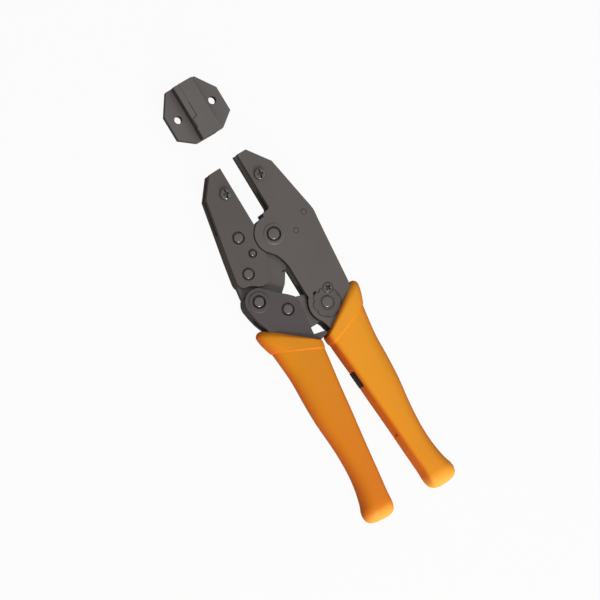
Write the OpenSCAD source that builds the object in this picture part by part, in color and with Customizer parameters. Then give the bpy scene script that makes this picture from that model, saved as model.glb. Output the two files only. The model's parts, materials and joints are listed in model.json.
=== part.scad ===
// Ratcheting hand crimper for modular plugs, with its die pair taken out and laid in line.
// The tool lies flat: X runs across the jaws, Y points to the jaw tips and Z is up.
// Places in the plane are measured from the main pivot, and heights from mid thickness.

/* [Side plates] */
// Thickness of each steel side plate
plate_t = 3.5; // [2.8:0.1:4.2]
// Space between the two plates of a jaw or a handle
slot_t = 4.7; // [4.4:0.1:5.4]
// Side clearance of a piece that swings between two plates
side_gap = 0.1; // [0.05:0.01:0.15]
// Clearance between plate edges that swing past each other
swing_gap = 0.6; // [0.4:0.05:0.8]

/* [Pivots] */
// Handle pivot, across from the main pivot
handle_pivot_x = -28.4; // [-29:0.1:-28]
// Handle pivot, along from the main pivot
handle_pivot_y = -28.9; // [-29.4:0.1:-28.4]
// Toggle pivot, across from the main pivot
toggle_pivot_x = -15.9; // [-16.3:0.1:-15.5]
// Toggle pivot, along from the main pivot
toggle_pivot_y = -40.8; // [-41.3:0.1:-40.3]
// Adjuster axis, across from the main pivot
adjuster_x = 6.2; // [5.8:0.1:6.6]
// Adjuster axis, along from the main pivot
adjuster_y = -49; // [-49.5:0.1:-48.5]
// Radius of the main pivot pin
main_pin_r = 3; // [2.6:0.1:3.3]
// Radius of the handle pivot pin
handle_pin_r = 2.6; // [2.4:0.1:2.9]
// Radius of the toggle pivot pin
toggle_pin_r = 2.5; // [2.2:0.1:2.7]
// Radius of the adjuster pin where the link turns on it
adjuster_pin_r = 3.4; // [3:0.1:3.8]
// Radial clearance of a pin in a hole that turns on it
pin_gap = 0.05; // [0.02:0.01:0.09]
// Radial room that the link has round the toggle pin
toggle_play = 1.35; // [1.3:0.05:1.5]
// Height of a domed pin head above its plate
head_h = 1.1; // [0.8:0.1:1.4]
// Width of the ring groove that is left open round a sunk pin head
seat_gap = 0.95; // [0.7:0.05:1.1]
// Depth of that groove
seat_deep = 1.2; // [0.8:0.1:1.6]
// Radius of the low boss coined round the main pivot and round the handle pivot
boss_r = 6.4; // [6:0.1:6.8]
// Height of that boss
boss_h = 0.2; // [0.1:0.05:0.3]

/* [Jaws] */
// Width of the gap between the closed jaws
jaw_gap = 13; // [12.4:0.1:13.6]
// Middle of the jaw gap, across from the main pivot
jaw_mid_x = -0.55; // [-0.8:0.05:-0.3]
// Height of the jaw tips above the main pivot
jaw_tip_y = 48.6; // [46:0.2:52]
// Height of the ledge where the die slots end
slot_floor_y = 15.5; // [14.5:0.1:16]
// Radius of the fixed plates round the main pivot
lobe_r = 11.2; // [10.8:0.1:11.6]
// Radius of the moving lever round the main pivot
lever_eye_r = 9.8; // [9:0.1:10.2]
// Radius of the rivets that hold the moving jaw together
jaw_rivet_r = 2.3; // [2:0.1:2.6]
// Radius of the small stop pin in the moving jaw
stop_pin_r = 1.3; // [1.1:0.1:1.6]
// Radius of the flush pins of the fixed jaw
flush_pin_r = 1.7; // [1.4:0.1:2.2]

/* [Handle and link] */
// Radius of the handle plates round the handle pivot
handle_lobe_r = 8.1; // [7.8:0.1:8.3]
// Radius of the link eye at the toggle pin
link_toggle_eye_r = 6.3; // [6:0.1:6.6]
// Radius of the link eye at the adjuster
link_adjuster_eye_r = 7.6; // [7:0.1:8]
// Distance from the adjuster axis to the foot of the link
link_foot_r = 17; // [16:0.2:17.2]

/* [Ratchet] */
// Root radius of the ratchet sector round the handle pivot
ratchet_root_r = 6.9; // [6.6:0.1:7.1]
// Tooth height of the ratchet
ratchet_tooth_h = 0.8; // [0.5:0.1:0.9]
// Number of ratchet teeth
ratchet_teeth = 7; // [5:1:8]
// Angle that one ratchet tooth takes
ratchet_pitch = 7.2; // [6:0.1:7.4]
// Direction of the pawl tip seen from the handle pivot
pawl_tip_angle = 264; // [262:0.5:266]
// Clearance of the pawl tip over the teeth
pawl_gap = 0.3; // [0.25:0.05:0.5]
// Length from the pawl pivot to the pawl tip
pawl_len = 17; // [16:0.2:18]
// Radius of the pawl pivot pin
pawl_pin_r = 1.5; // [1.2:0.1:1.8]

/* [Adjuster] */
// Radius of the adjuster wheel
wheel_r = 8.4; // [8:0.1:8.6]
// Thickness of the adjuster wheel
wheel_t = 1.1; // [0.9:0.1:1.4]
// Number of notches round the adjuster wheel
wheel_notches = 8; // [6:1:10]
// Clearance of the wheel in its pocket
wheel_gap = 0.3; // [0.2:0.05:0.5]
// Radius of the lock screw head
lock_head_r = 2.9; // [2.5:0.1:3.1]
// Distance of the lock screw from the adjuster axis
lock_screw_pitch_r = 8.5; // [8.3:0.1:8.8]
// Direction of the lock screw from the adjuster axis
lock_screw_angle = 55; // [50:1:60]
// Throw of the eccentric that carries the link, off the axis of the adjuster
adjuster_throw = 0.4; // [0.2:0.05:0.5]

/* [Die pair] */
// Width over both ears of the closed die pair
die_w = 36; // [34:0.5:38]
// Height of the die pair
die_h = 33.8; // [32:0.2:35]
// Thickness of the raised die block
die_block_t = 16.4; // [14:0.2:16.4]
// Side clearance of a die ear in its jaw slot
ear_gap = 0.15; // [0.1:0.05:0.2]
// Clearance of the die block in the jaw gap, each side
block_gap = 0.15; // [0.1:0.05:0.3]
// Distance of each die screw from the middle of the jaw gap
die_screw_x = 11.8; // [11.4:0.1:12.2]
// Height of the die screws above the main pivot
die_screw_y = 33.2; // [32.6:0.1:33.8]
// Height of the ear holes above the lower edge of a die
ear_hole_up = 16.7; // [16:0.1:17.4]
// Radius of the ear holes
ear_hole_r = 2.3; // [2.2:0.05:2.6]
// Radius of the die screw shank
die_screw_r = 2; // [1.8:0.05:2.1]
// Radius of the die screw head
die_screw_head_r = 3.3; // [3:0.1:3.6]
// Distance that the die pair lies in front of its seat
die_out = 50.2; // [46:0.2:56]
// Gap between the closed die halves
parting_gap = 0.15; // [0.1:0.05:0.2]
// Width of the seam that shows round the foot of the nest
seam_w = 0.4; // [0.3:0.05:0.5]
// Width of the plug pocket in the nest
pocket_w = 12; // [11.8:0.1:12.4]
// Depth of the plug pocket behind the parting face
pocket_h = 7; // [6.8:0.1:7.4]
// Front wall that closes the plug pocket
pocket_wall = 3.6; // [3:0.2:5]
// Number of contact blades in the punch
blade_count = 8; // [8:1:8]
// Spacing of the contact blades
blade_pitch = 1.02; // [0.98:0.02:1.1]
// Thickness of a contact blade
blade_t = 0.4; // [0.3:0.05:0.5]

/* [Grips] */
// Thickness of the grip hoods and of the flared ends
hood_t = 17; // [16.6:0.1:18]
// Thickness of the grips between hood and end
grip_t = 16; // [15:0.1:16.4]
// Wall of the grips over the edges of the steel
grip_wall = 2.4; // [2:0.1:2.8]
// Corner radius of the grip section towards the other handle
inner_corner_r = 2.4; // [1.8:0.1:3]
// Corner radius of the grip section on the outer side
outer_corner_r = 7.6; // [6.6:0.1:7.8]
// Distance from the main pivot to the lower end of the fixed grip
grip_end_y = -171.9; // [-178:0.5:-168]
// Turn of the moving grip against the mirrored fixed grip
grip_turn = 4.2; // [4:0.05:4.4]
// Depth of the groove along the inner side of a grip
groove_depth = 1.2; // [0.8:0.1:1.6]
// Width of that groove
groove_w = 6; // [5:0.5:7]

/* [Springs] */
// Wire radius of the springs
wire_r = 0.3; // [0.2:0.05:0.4]
// Outer radius of the return spring
return_spring_r = 1.9; // [1.5:0.1:2]
// Outer radius of the pawl spring
pawl_spring_r = 1.4; // [1.2:0.1:1.6]

/* [Hidden] */
$fn = 48;

steel = "#5d5a58";
dark_steel = "#46423f";
bright_steel = "#8a8784";
orange = "#e8922a";

main_pivot = [0, 0];
handle_pivot = [handle_pivot_x, handle_pivot_y];
toggle_pivot = [toggle_pivot_x, toggle_pivot_y];
adjuster = [adjuster_x, adjuster_y];
throw_angle = 72;
link_axis = adjuster + adjuster_throw * [cos(throw_angle), sin(throw_angle)];
mid_z = hood_t / 2;
face_z = slot_t / 2 + plate_t;
mid_t = slot_t - 2 * side_gap;
gap_left = jaw_mid_x - jaw_gap / 2;
gap_right = jaw_mid_x + jaw_gap / 2;
moving_arc_r = lobe_r + swing_gap;
fixed_screw = [jaw_mid_x + die_screw_x, die_screw_y];
moving_screw = [jaw_mid_x - die_screw_x, die_screw_y];
lock_screw_at = adjuster + lock_screw_pitch_r * [cos(lock_screw_angle), sin(lock_screw_angle)];
cut = 1;
fit = 0.02;

// Points on an arc from one angle to another
function arc(c, r, a0, a1, n = 10) =
    [for (i = [0:n]) c + r * [cos(a0 + (a1 - a0) * i / n), sin(a0 + (a1 - a0) * i / n)]];

// One point of a smooth curve between b and c
function blend(a, b, c, d, t) =
    0.5 * (2 * b + (c - a) * t + (2 * a - 5 * b + 4 * c - d) * t * t
        + (3 * b - a - 3 * c + d) * t * t * t);

// A smooth curve through the points of a list, with n steps from point to point
function smooth(p, n = 4) = concat(
    [for (i = [0:len(p) - 2]) for (k = [0:n - 1])
        blend(p[max(i - 1, 0)], p[i], p[i + 1], p[min(i + 2, len(p) - 1)], k / n)],
    [p[len(p) - 1]]);

function reverse(p) = [for (i = [len(p) - 1:-1:0]) p[i]];
function mix(a, b, t) = a * (1 - t) + b * t;

// Grip stations: inner point, outer point, thickness and outer corner radius
end_drop = grip_end_y + 171.9;
rim_r = 3.5;
hood_corner_r = 5.5;
hood_stations = [
    [-3.1, -64.5, 24.9, -45.2, hood_t - 3, rim_r],
    [-3.6, -65.3, 27.4, -46.6, hood_t - 0.8, mix(rim_r, hood_corner_r, 0.5)],
    [-3.9, -66.7, 28.7, -48.6, hood_t, hood_corner_r],
    [-3.7, -69.2, 27.3, -55.4, hood_t, hood_corner_r],
    [-3.3, -71.9, 25.2, -60.4, hood_t, hood_corner_r]
];
grip_stations = [
    [-2.9, -69, 24.2, -58.5, grip_t, outer_corner_r],
    [-2.5, -74, 23.2, -68.5, grip_t, outer_corner_r],
    [-1.8, -82, 21.8, -80, grip_t, outer_corner_r],
    [-0.9, -93, 21.2, -93, grip_t, outer_corner_r],
    [-0.1, -107, 20.3, -107, grip_t, outer_corner_r],
    [1, -122, 18.4, -122, grip_t, outer_corner_r],
    [1.9, -136 + end_drop / 2, 17, -136 + end_drop / 2, grip_t, outer_corner_r],
    [2.6, -148 + end_drop, 17.5, -148 + end_drop, mix(grip_t, hood_t, 0.3), outer_corner_r],
    [3.2, -158 + end_drop, 19.1, -158 + end_drop, hood_t, outer_corner_r],
    [3.1, -165 + end_drop, 21, -164.6 + end_drop, hood_t, outer_corner_r],
    [3.3, -168 + end_drop, 20.4, -167.8 + end_drop, hood_t * 0.94, outer_corner_r],
    [5, -170.4 + end_drop, 18.3, -170.2 + end_drop, hood_t * 0.78, outer_corner_r * 0.75],
    [8, grip_end_y, 14.6, grip_end_y, hood_t * 0.5, outer_corner_r * 0.4]
];
hood_steps = 2;
grip_steps = 3;
corner_steps = 5;

// One ring of a grip: a rounded rectangle that stands on the line from inner to outer point
function grip_ring(s) =
    let (p = [s[0], s[1]], q = [s[2], s[3]], half = norm(q - p) / 2, u = (q - p) / (2 * half),
        mid = (p + q) / 2, high = min(s[4], hood_t) / 2)
    [for (k = [0:3]) for (i = [0:corner_steps])
        let (a = 90 * k + 90 * i / corner_steps,
            sx = (k == 0 || k == 3) ? 1 : -1, sz = (k < 2) ? 1 : -1,
            r = sx > 0 ? s[5] : inner_corner_r,
            along = sx * (half - r) + r * cos(a), up = sz * (high - r) + r * sin(a))
        [mid[0] + u[0] * along, mid[1] + u[1] * along, up]];

hood_rings = [for (s = smooth(hood_stations, hood_steps)) grip_ring(s)];
grip_rings = [for (s = smooth(grip_stations, grip_steps)) grip_ring(s)];

// Where a point of the mirrored fixed grip lies on the moving grip
grip_shift = [-6.9, 0.3];
function moving_side(p) = [
    grip_shift[0] - p[0] * cos(grip_turn) + p[1] * sin(grip_turn),
    grip_shift[1] + p[0] * sin(grip_turn) + p[1] * cos(grip_turn)];

// The part's own origin is the middle of its bounding box, on the surface it lies on
fixed_points = concat([for (r = hood_rings) for (p = r) p], [for (r = grip_rings) for (p = r) p]);
moving_points = [for (p = fixed_points) moving_side(p)];
right_x = max([for (p = fixed_points) p[0]]);
left_x = min([for (p = moving_points) p[0]]);
low_y = min(min([for (p = fixed_points) p[1]]), min([for (p = moving_points) p[1]]));
die_low_y = die_screw_y - ear_hole_up + die_out;
high_y = die_low_y + die_h;
origin_shift = [-(left_x + right_x) / 2, -(low_y + high_y) / 2, mid_z];

// Edge of the fixed plates on the outer side, from the jaw tip to the hood
fixed_outer = concat(
    [[11.8, jaw_tip_y + 0.8], [21.6, 36.4]],
    smooth([[23.3, 27.4], [26.6, 9.2], [28, 1.4], [27.6, -3.9], [26, -19.2], [24.7, -33.4],
        [23.7, -44.8]], 2));

// Both edges of the steel inside the fixed grip
tang_rows = [for (i = [2:6]) grip_stations[i]];
tang_outer = [for (s = tang_rows) [s[2] - grip_wall - 1.4, s[3]]];
tang_inner = [for (s = tang_rows) [s[0] + grip_wall, s[1]]];
tang_end_y = tang_rows[4][1] - 6;

// Edge of the fixed plates on the inner side, from the hood up to the jaw
bulge_r = 11.1;
fixed_inner = concat(
    [[0, -63], [-1, -58.6]],
    arc(adjuster, bulge_r, 222, 135, 12),
    smooth([[-1.9, -37.6], [-2, -22.4], [-2.6, -17.6], [-4.3, -12.4], [-6.4, -9.4]], 3),
    arc(main_pivot, lobe_r, 216, 88, 20),
    [[0.6, 13.2], [3.2, 13.4]],
    arc([gap_right - 1.8, 15.3], 1.8, -75, 0, 4),
    [[gap_right, jaw_tip_y + 0.8]]);

fixed_outline = concat(fixed_outer, [[21.4, -54]], tang_outer,
    [[12.5, tang_end_y], [6.5, tang_end_y]], reverse(tang_inner), fixed_inner);

// Edge of the moving jaw plates
moving_outer = [[gap_left, jaw_tip_y - 1], [-14.5, jaw_tip_y - 1.2], [-23.8, 36], [-31.1, 0.7]];
moving_outline = concat(moving_outer,
    smooth([[-33.7, -13.2], [-33.3, -15.9], [-31.4, -17.8], [-28.3, -18.5], [-25.7, -19.8],
        [-23.2, -21.6], [-20, -22.3], [-17.2, -21.9], [-14.8, -19.6], [-12.6, -15.2],
        [-11, -12], [-10.2, -8.6]], 3),
    arc(main_pivot, moving_arc_r, 212, 127, 14));

// Teeth of the ratchet sector, seen from the handle pivot
first_tooth = pawl_tip_angle - 3;
function tooth(i) =
    let (a = first_tooth - ratchet_pitch * i)
    [handle_pivot + (ratchet_root_r + ratchet_tooth_h) * [cos(a), sin(a)],
        handle_pivot + ratchet_root_r * [cos(a - 1), sin(a - 1)]];
last_tooth = first_tooth - ratchet_pitch * ratchet_teeth;
ratchet_edge = [for (i = [ratchet_teeth - 1:-1:0]) for (p = reverse(tooth(i))) p];

// Lever between the moving jaw plates: it carries both the main and the handle pivot
lever_outline = concat(
    [[gap_left - 0.2, slot_floor_y], [-27.8, slot_floor_y], [-31, 0.7], [-33.8, -14], [-35, -21.5]],
    arc(handle_pivot, ratchet_root_r, 180, last_tooth, 3),
    ratchet_edge,
    arc(handle_pivot, ratchet_root_r, first_tooth + 2, 310, 5),
    [[-13, -31.4], [-8.5, -27.5], [-2, -18.6], [-1.4, -15]],
    arc(main_pivot, lever_eye_r, -78, 132, 20));

// Handle plates: a lobe round the handle pivot, an apron to the toggle pin and a tang
// with a toe that points at the fixed handle
handle_apron = [[-14.1, -31.2], [-11.4, -33.4], [-8.5, -36.3], [-7.9, -45.9], [-8.9, -50.5],
    [-9.8, -56.2], [-10.2, -60.5], [-4.2, -61.8], [-2.8, -63.2], [-3.4, -64], [-5.8, -64.5],
    [-8.3, -65.2], [-11.6, -62.5], [-11.9, -66]];
moving_tang_outer = [for (p = tang_outer) moving_side(p)];
moving_tang_inner = [for (p = tang_inner) moving_side(p)];
handle_outline = concat(
    arc(handle_pivot, handle_lobe_r, 182, 50, 12),
    handle_apron,
    moving_tang_inner,
    [moving_side([6.5, tang_end_y]), moving_side([12.5, tang_end_y])],
    reverse(moving_tang_outer),
    [moving_side([21, -56]), [-32.6, -44.4], [-34.6, -39.1], [-35.7, -34.4]]);

// Thin steel prism between two heights measured from mid thickness
module slab(points, low, high) {
    translate([0, 0, low])
        linear_extrude(high - low)
            polygon(points);
}

module placed() {
    translate(origin_shift)
        children();
}

module at(p, z = 0) {
    translate([p[0], p[1], z])
        children();
}

// Straight hole through both plates
module hole(p, r) {
    at(p, -face_z - cut)
        cylinder(r = r, h = 2 * (face_z + cut));
}

// Low boss on the front face of a plate, with sloping sides
boss_slope = 0.8;
module boss(p) {
    at(p, face_z - boss_h)
        cylinder(r1 = boss_r + boss_slope, r2 = boss_r - boss_slope, h = 2 * boss_h);
}

// Recess in the front face for a pin head of radius head_r, with a ring groove left round it
module seat(p, head_r, deep) {
    at(p, face_z - deep)
        cylinder(r = head_r + seat_gap, h = deep + cut);
}

// Pin through the whole tool with a domed head of radius head_r, sunk into its seat in front
module domed_pin(p, r, head_r, back, sunk) {
    dome = 0.45 * head_h;
    at(p)
        rotate_extrude()
            polygon(concat(
                [[0, -face_z - back], [r - 0.3, -face_z - back], [r, -face_z - back + 0.3],
                    [r, face_z - sunk], [head_r, face_z - sunk], [head_r, face_z + head_h - dome]],
                [for (a = [15:25:65]) [head_r * cos(a), face_z + head_h - dome + dome * sin(a)]],
                [[0, face_z + head_h]]));
}

// Rivet with a domed head on both faces
module rivet(p, r, head_r) {
    domed_pin(p, r, head_r, 0, seat_deep);
    mirror([0, 0, 1])
        domed_pin(p, r, head_r, -face_z, seat_deep);
}

// Post that is riveted flush at the back and ends inside the front plate
post_seat = 1.5;
module blind_post(p, r) {
    at(p, -face_z)
        cylinder(r = r, h = face_z + slot_t / 2 + post_seat);
}

// Snap ring in the groove of a pin end behind the back plate
ring_t = 0.8;
ring_wide = 1.1;
pin_tail = ring_t + 0.6;
module snap_ring(p, r, turn) {
    at(p, -face_z - ring_t)
        rotate([0, 0, turn])
            difference() {
                cylinder(r = r + ring_wide, h = ring_t);
                translate([0, 0, -cut])
                    cylinder(r = r + fit, h = ring_t + 2 * cut);
                translate([0, -r * 0.45, -cut])
                    cube([r + ring_wide + cut, r * 0.9, ring_t + 2 * cut]);
            }
}

// Cross recess of a screw head whose top lies at height z
recess_l = 3.6;
recess_w = 0.8;
recess_deep = 0.9;
module cross_recess(z) {
    for (turn = [0, 90])
        rotate([0, 0, turn])
            translate([-recess_l / 2, -recess_w / 2, z - recess_deep])
                cube([recess_l, recess_w, recess_deep + cut]);
}

// Pan head screw through both plates, its thread ending at the back face
screw_head_h = 1.7;
module die_screw(p) {
    at(p)
        difference() {
            rotate_extrude()
                polygon([[0, -face_z + 0.3], [die_screw_r - 0.4, -face_z + 0.3],
                    [die_screw_r, -face_z + 0.8], [die_screw_r, face_z],
                    [die_screw_head_r, face_z], [die_screw_head_r, face_z + screw_head_h - 0.7],
                    [die_screw_head_r - 0.7, face_z + screw_head_h - 0.1],
                    [die_screw_head_r - 1.4, face_z + screw_head_h],
                    [0, face_z + screw_head_h]]);
            cross_recess(face_z + screw_head_h);
        }
}

// Coil of wire from p to q, with closed turns and straight ends
module coil_spring(p, q, r, turns, lead) {
    run = q - p;
    long = norm(run);
    heading = atan2(run[1], run[0]);
    per_turn = 8;
    wire_sides = 6;
    rise = (long - 2 * lead) / turns;
    n = turns * per_turn;
    spine = concat([[0, 0, 0], [lead - 0.6, 0, 0]],
        [for (i = [0:n]) [lead + rise * i / per_turn, (r - wire_r) * sin(360 * i / per_turn),
            (r - wire_r) * cos(360 * i / per_turn)]],
        [[long - lead + 0.6, 0, 0], [long, 0, 0]]);
    last = len(spine) - 1;
    sweep_points = [for (i = [0:last])
        let (d = spine[min(i + 1, last)] - spine[max(i - 1, 0)], f = d / norm(d),
            side_raw = cross(f, abs(f[0]) > 0.9 ? [0, 1, 0] : [1, 0, 0]),
            s = side_raw / norm(side_raw), t = cross(f, s))
        for (k = [0:wire_sides - 1])
            spine[i] + wire_r * (s * cos(360 * k / wire_sides) + t * sin(360 * k / wire_sides))];
    at(p)
        rotate([0, 0, heading])
            polyhedron(sweep_points, loft_faces(len(spine), wire_sides), convexity = 8);
}

// Triangles over a stack of rings with a flat cap at each end
function loft_faces(rows, around) = concat(
    [[for (k = [0:around - 1]) k]],
    [for (i = [0:rows - 2]) for (k = [0:around - 1])
        [i * around + k, (i + 1) * around + k, (i + 1) * around + (k + 1) % around]],
    [for (i = [0:rows - 2]) for (k = [0:around - 1])
        [i * around + k, (i + 1) * around + (k + 1) % around, i * around + (k + 1) % around]],
    [[for (k = [around - 1:-1:0]) (rows - 1) * around + k]]);

module loft(rings) {
    around = len(rings[0]);
    polyhedron([for (r = rings) for (p = r) p], loft_faces(len(rings), around), convexity = 6);
}

// Fixed side plates, side 1 in front and -1 at the back
module fixed_plate(side) {
    difference() {
        union() {
            slab(fixed_outline, side > 0 ? slot_t / 2 : -face_z, side > 0 ? face_z : -slot_t / 2);
            if (side > 0)
                boss(main_pivot);
        }
        hole(main_pivot, main_pin_r + fit);
        hole(fixed_screw, die_screw_r + fit);
        hole(lock_screw_at, lock_screw_r + fit);
        for (p = flush_pin_places)
            hole(p, flush_pin_r + fit);
        for (p = tang_rivet_places)
            hole(p, tang_rivet_r + fit);
        blind_post(post_place, post_r + fit);
        hole(adjuster, journal_r + fit);
        if (side > 0) {
            seat(main_pivot, pivot_head_r, seat_deep);
            wheel_pocket();
            at(index_place, 0)
                cylinder(r = index_hole_r, h = face_z + cut);
        }
    }
}

// Round pocket for the adjuster wheel and the lock screw head
pocket_deep = wheel_t + 0.2;
index_place = adjuster + [-3.7, 7.7];
index_hole_r = 1.2;
module wheel_pocket() {
    at(adjuster, face_z - pocket_deep)
        cylinder(r = wheel_r + wheel_gap, h = pocket_deep + cut);
    at(lock_screw_at, face_z - pocket_deep)
        cylinder(r = lock_head_r + wheel_gap, h = pocket_deep + cut);
}

module fixed_front_plate() {
    color(steel) placed() fixed_plate(1);
}

module fixed_back_plate() {
    color(steel) placed() fixed_plate(-1);
}

// Block between the fixed jaw plates: floor of the die slot
flush_pin_places = [[22.3, 2.1], [12.6, -4.7]];
spacer_clear = 0.4;
module fixed_jaw_spacer() {
    color(dark_steel) placed()
        difference() {
            slab([[gap_right + 0.2, slot_floor_y], [25, slot_floor_y], [26.2, 9.2], [27.6, 1.2],
                [27.2, -3.9], [26.4, -10.6], [22, -12.6], [10, -11], [7.2, -7.6], [7.2, 7]],
                -slot_t / 2, slot_t / 2);
            at(main_pivot, -slot_t)
                cylinder(r = lever_eye_r + spacer_clear, h = 2 * slot_t);
            for (p = flush_pin_places)
                hole(p, flush_pin_r + fit);
        }
}

// Flush pins that rivet the fixed jaw to its spacer
module flush_pins() {
    color(dark_steel) placed()
        for (p = flush_pin_places)
            at(p, -face_z)
                cylinder(r = flush_pin_r, h = 2 * face_z);
}

// Bar between the fixed plates, from the hood down to the end of the tang
tang_rivet_r = 1.9;
tang_rivet_places = [[11.5, -72], [9.8, -104], [9.4, -134]];
tang_inner_x = 0.5;
tang_spacer_top = -62.1;
module tang_spacer() {
    color(dark_steel) placed()
        difference() {
            slab(concat([[tang_inner_x, tang_spacer_top], [19.6, tang_spacer_top]],
                [for (p = tang_outer) p - [0.3, 0]],
                [[12.5, tang_end_y + 0.3], [6.5, tang_end_y + 0.3]],
                [for (p = reverse(tang_inner)) p + [0.3, 0]], [[tang_inner_x, -66]]),
                -slot_t / 2, slot_t / 2);
            for (p = tang_rivet_places)
                hole(p, tang_rivet_r + fit);
        }
}

// Flush rivets of the fixed tang, under the grip
module tang_rivets() {
    color(bright_steel) placed()
        for (p = tang_rivet_places)
            at(p, -face_z)
                cylinder(r = tang_rivet_r, h = 2 * face_z);
}

pivot_head_r = 3.4;
module main_pivot_pin() {
    color(steel) placed()
        domed_pin(main_pivot, main_pin_r, pivot_head_r, pin_tail, seat_deep);
}

// Snap rings behind the main pivot and behind the adjuster
module frame_rings() {
    color(bright_steel) placed() {
        snap_ring(main_pivot, main_pin_r, 200);
        snap_ring(adjuster, journal_r, 250);
    }
}

// Adjuster pin: two journals in the plates and an eccentric middle that carries the link
eccentric_rim = 0.1;
adjuster_head_r = 3.3;
adjuster_seat = 0.6;
journal_r = adjuster_pin_r - adjuster_throw - eccentric_rim;
module adjuster_pin() {
    color(steel) placed() {
        domed_pin(adjuster, journal_r, adjuster_head_r, pin_tail, adjuster_seat);
        at(link_axis, -mid_t / 2)
            cylinder(r = adjuster_pin_r, h = mid_t);
    }
}

// Notched wheel that turns the eccentric, held by the lock screw
notch_r = lock_head_r + 0.15;
module adjuster_wheel() {
    color(dark_steel) placed()
        at(adjuster, face_z - wheel_t)
            difference() {
                cylinder(r = wheel_r, h = wheel_t);
                translate([0, 0, -cut])
                    cylinder(r = journal_r + fit, h = wheel_t + 2 * cut);
                translate([0, 0, wheel_t - adjuster_seat])
                    cylinder(r = adjuster_head_r + seat_gap, h = wheel_t);
                rotate([0, 0, lock_screw_angle])
                    translate([lock_screw_pitch_r, 0, -cut])
                        cylinder(r = notch_r, h = wheel_t + 2 * cut);
                for (i = [1:wheel_notches - 1])
                    rotate([0, 0, lock_screw_angle + 360 * i / wheel_notches])
                        translate([wheel_r + 0.6, 0, -cut])
                            cylinder(r = 1.7, h = wheel_t + 2 * cut);
            }
}

// Lock screw in a notch of the wheel, threaded into the front plate
lock_screw_r = 1.5;
module lock_screw() {
    color(steel) placed()
        at(lock_screw_at)
            difference() {
                union() {
                    at([0, 0], face_z - pocket_deep)
                        cylinder(r = lock_head_r, h = pocket_deep + 0.5);
                    at([0, 0], slot_t / 2 + 0.2)
                        cylinder(r = lock_screw_r, h = plate_t - pocket_deep);
                }
                cross_recess(face_z + 0.5);
            }
}

module fixed_die_screw() {
    color(steel) placed() die_screw(fixed_screw);
}

// Post between the fixed plates that the return spring pulls on
post_place = [19.4, -25];
post_r = 1.3;
module spring_post() {
    color(bright_steel) placed()
        blind_post(post_place, post_r);
}

// Extension spring from the lever to the post: it pulls the jaws open
lever_hook = [-5.4, -20.8];
hook_heading = atan2(post_place[1] - lever_hook[1], post_place[0] - lever_hook[0]);
module return_spring() {
    way = (post_place - lever_hook) / norm(post_place - lever_hook);
    color(bright_steel) placed()
        coil_spring(lever_hook - way * 0.2, post_place - way * (post_r + wire_r + 0.2),
            return_spring_r, 9, 5);
}

// Hooded handle grip, modelled as the fixed one: hood, body, room for the steel and a groove.
// The mouth of the moving grip is trimmed on its inner side, to clear the toe of the handle.
tang_gap = 0.15;
window_y = [-100.6, -90.4];
groove_y = [-135, -90.4];
module grip_shell(mouth_cut) {
    difference() {
        union() {
            loft(hood_rings);
            loft(grip_rings);
        }
        slab(tang_room, -face_z - tang_gap, face_z + tang_gap);
        if (mouth_cut)
            slab([[-9, -20], [34, -20], [34, -38.3], [-9, -70]], -hood_t, hood_t);
        inner_cut(groove_y, groove_depth);
        inner_cut(window_y, grip_wall + 0.6);
    }
}

// Room for the steel: the tang with a clearance all round, open at the hood
tang_room = concat([[-6, -40], [24.1, -40], [23.9, -46], [21.7, -54]],
    [for (p = tang_outer) p + [tang_gap, 0]],
    [[12.5, tang_end_y - tang_gap], [6.5, tang_end_y - tang_gap]],
    [for (p = reverse(tang_inner)) p - [tang_gap, 0]], [[-0.2, -63], [-2, -58]]);

// Cut into the inner side of a grip between two places along it
module inner_cut(span, deep) {
    top = lookup(span[1], inner_edge);
    low = lookup(span[0], inner_edge);
    translate([0, 0, -groove_w / 2])
        linear_extrude(groove_w)
            polygon([[top - cut - 2, span[1]], [top + deep, span[1]],
                [low + deep, span[0]], [low - cut - 2, span[0]]]);
}
inner_edge = [for (i = [8:-1:1]) [grip_stations[i][1], grip_stations[i][0]]];

module fixed_grip() {
    color(orange) placed() grip_shell(false);
}

// Moving side plates, side 1 in front and -1 at the back
jaw_rivet_head_r = jaw_rivet_r + 0.5;
stop_pin_head_r = stop_pin_r + 0.4;
jaw_rivet_places = [[-19.2, 8.2], [-25.2, -12.2]];
stop_pin_place = [-16.7, -3.4];
module moving_plate(side) {
    difference() {
        slab(moving_outline, side > 0 ? slot_t / 2 : -face_z, side > 0 ? face_z : -slot_t / 2);
        hole(moving_screw, die_screw_r + fit);
        for (p = jaw_rivet_places)
            hole(p, jaw_rivet_r + fit);
        hole(stop_pin_place, stop_pin_r + fit);
        mirror([0, 0, side > 0 ? 0 : 1]) {
            for (p = jaw_rivet_places)
                seat(p, jaw_rivet_head_r, seat_deep);
            seat(stop_pin_place, stop_pin_head_r, seat_deep);
        }
    }
}

module moving_front_plate() {
    color(steel) placed() moving_plate(1);
}

module moving_back_plate() {
    color(steel) placed() moving_plate(-1);
}

// Lever of the moving jaw with the ratchet teeth round the handle pivot
hook_r = 0.8;
module moving_lever() {
    color(steel) placed()
        difference() {
            slab(lever_outline, -mid_t / 2, mid_t / 2);
            hole(main_pivot, main_pin_r + pin_gap);
            hole(handle_pivot, handle_pin_r + pin_gap);
            for (p = jaw_rivet_places)
                hole(p, jaw_rivet_r + fit);
            hole(stop_pin_place, stop_pin_r + fit);
            hole(lever_hook, hook_r);
            at(lever_hook, -slot_t)
                rotate([0, 0, hook_heading])
                    translate([0, -hook_r, 0])
                        cube([4, 2 * hook_r, 2 * slot_t]);
        }
}

module jaw_rivets() {
    color(steel) placed()
        for (p = jaw_rivet_places)
            rivet(p, jaw_rivet_r, jaw_rivet_head_r);
}

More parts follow.
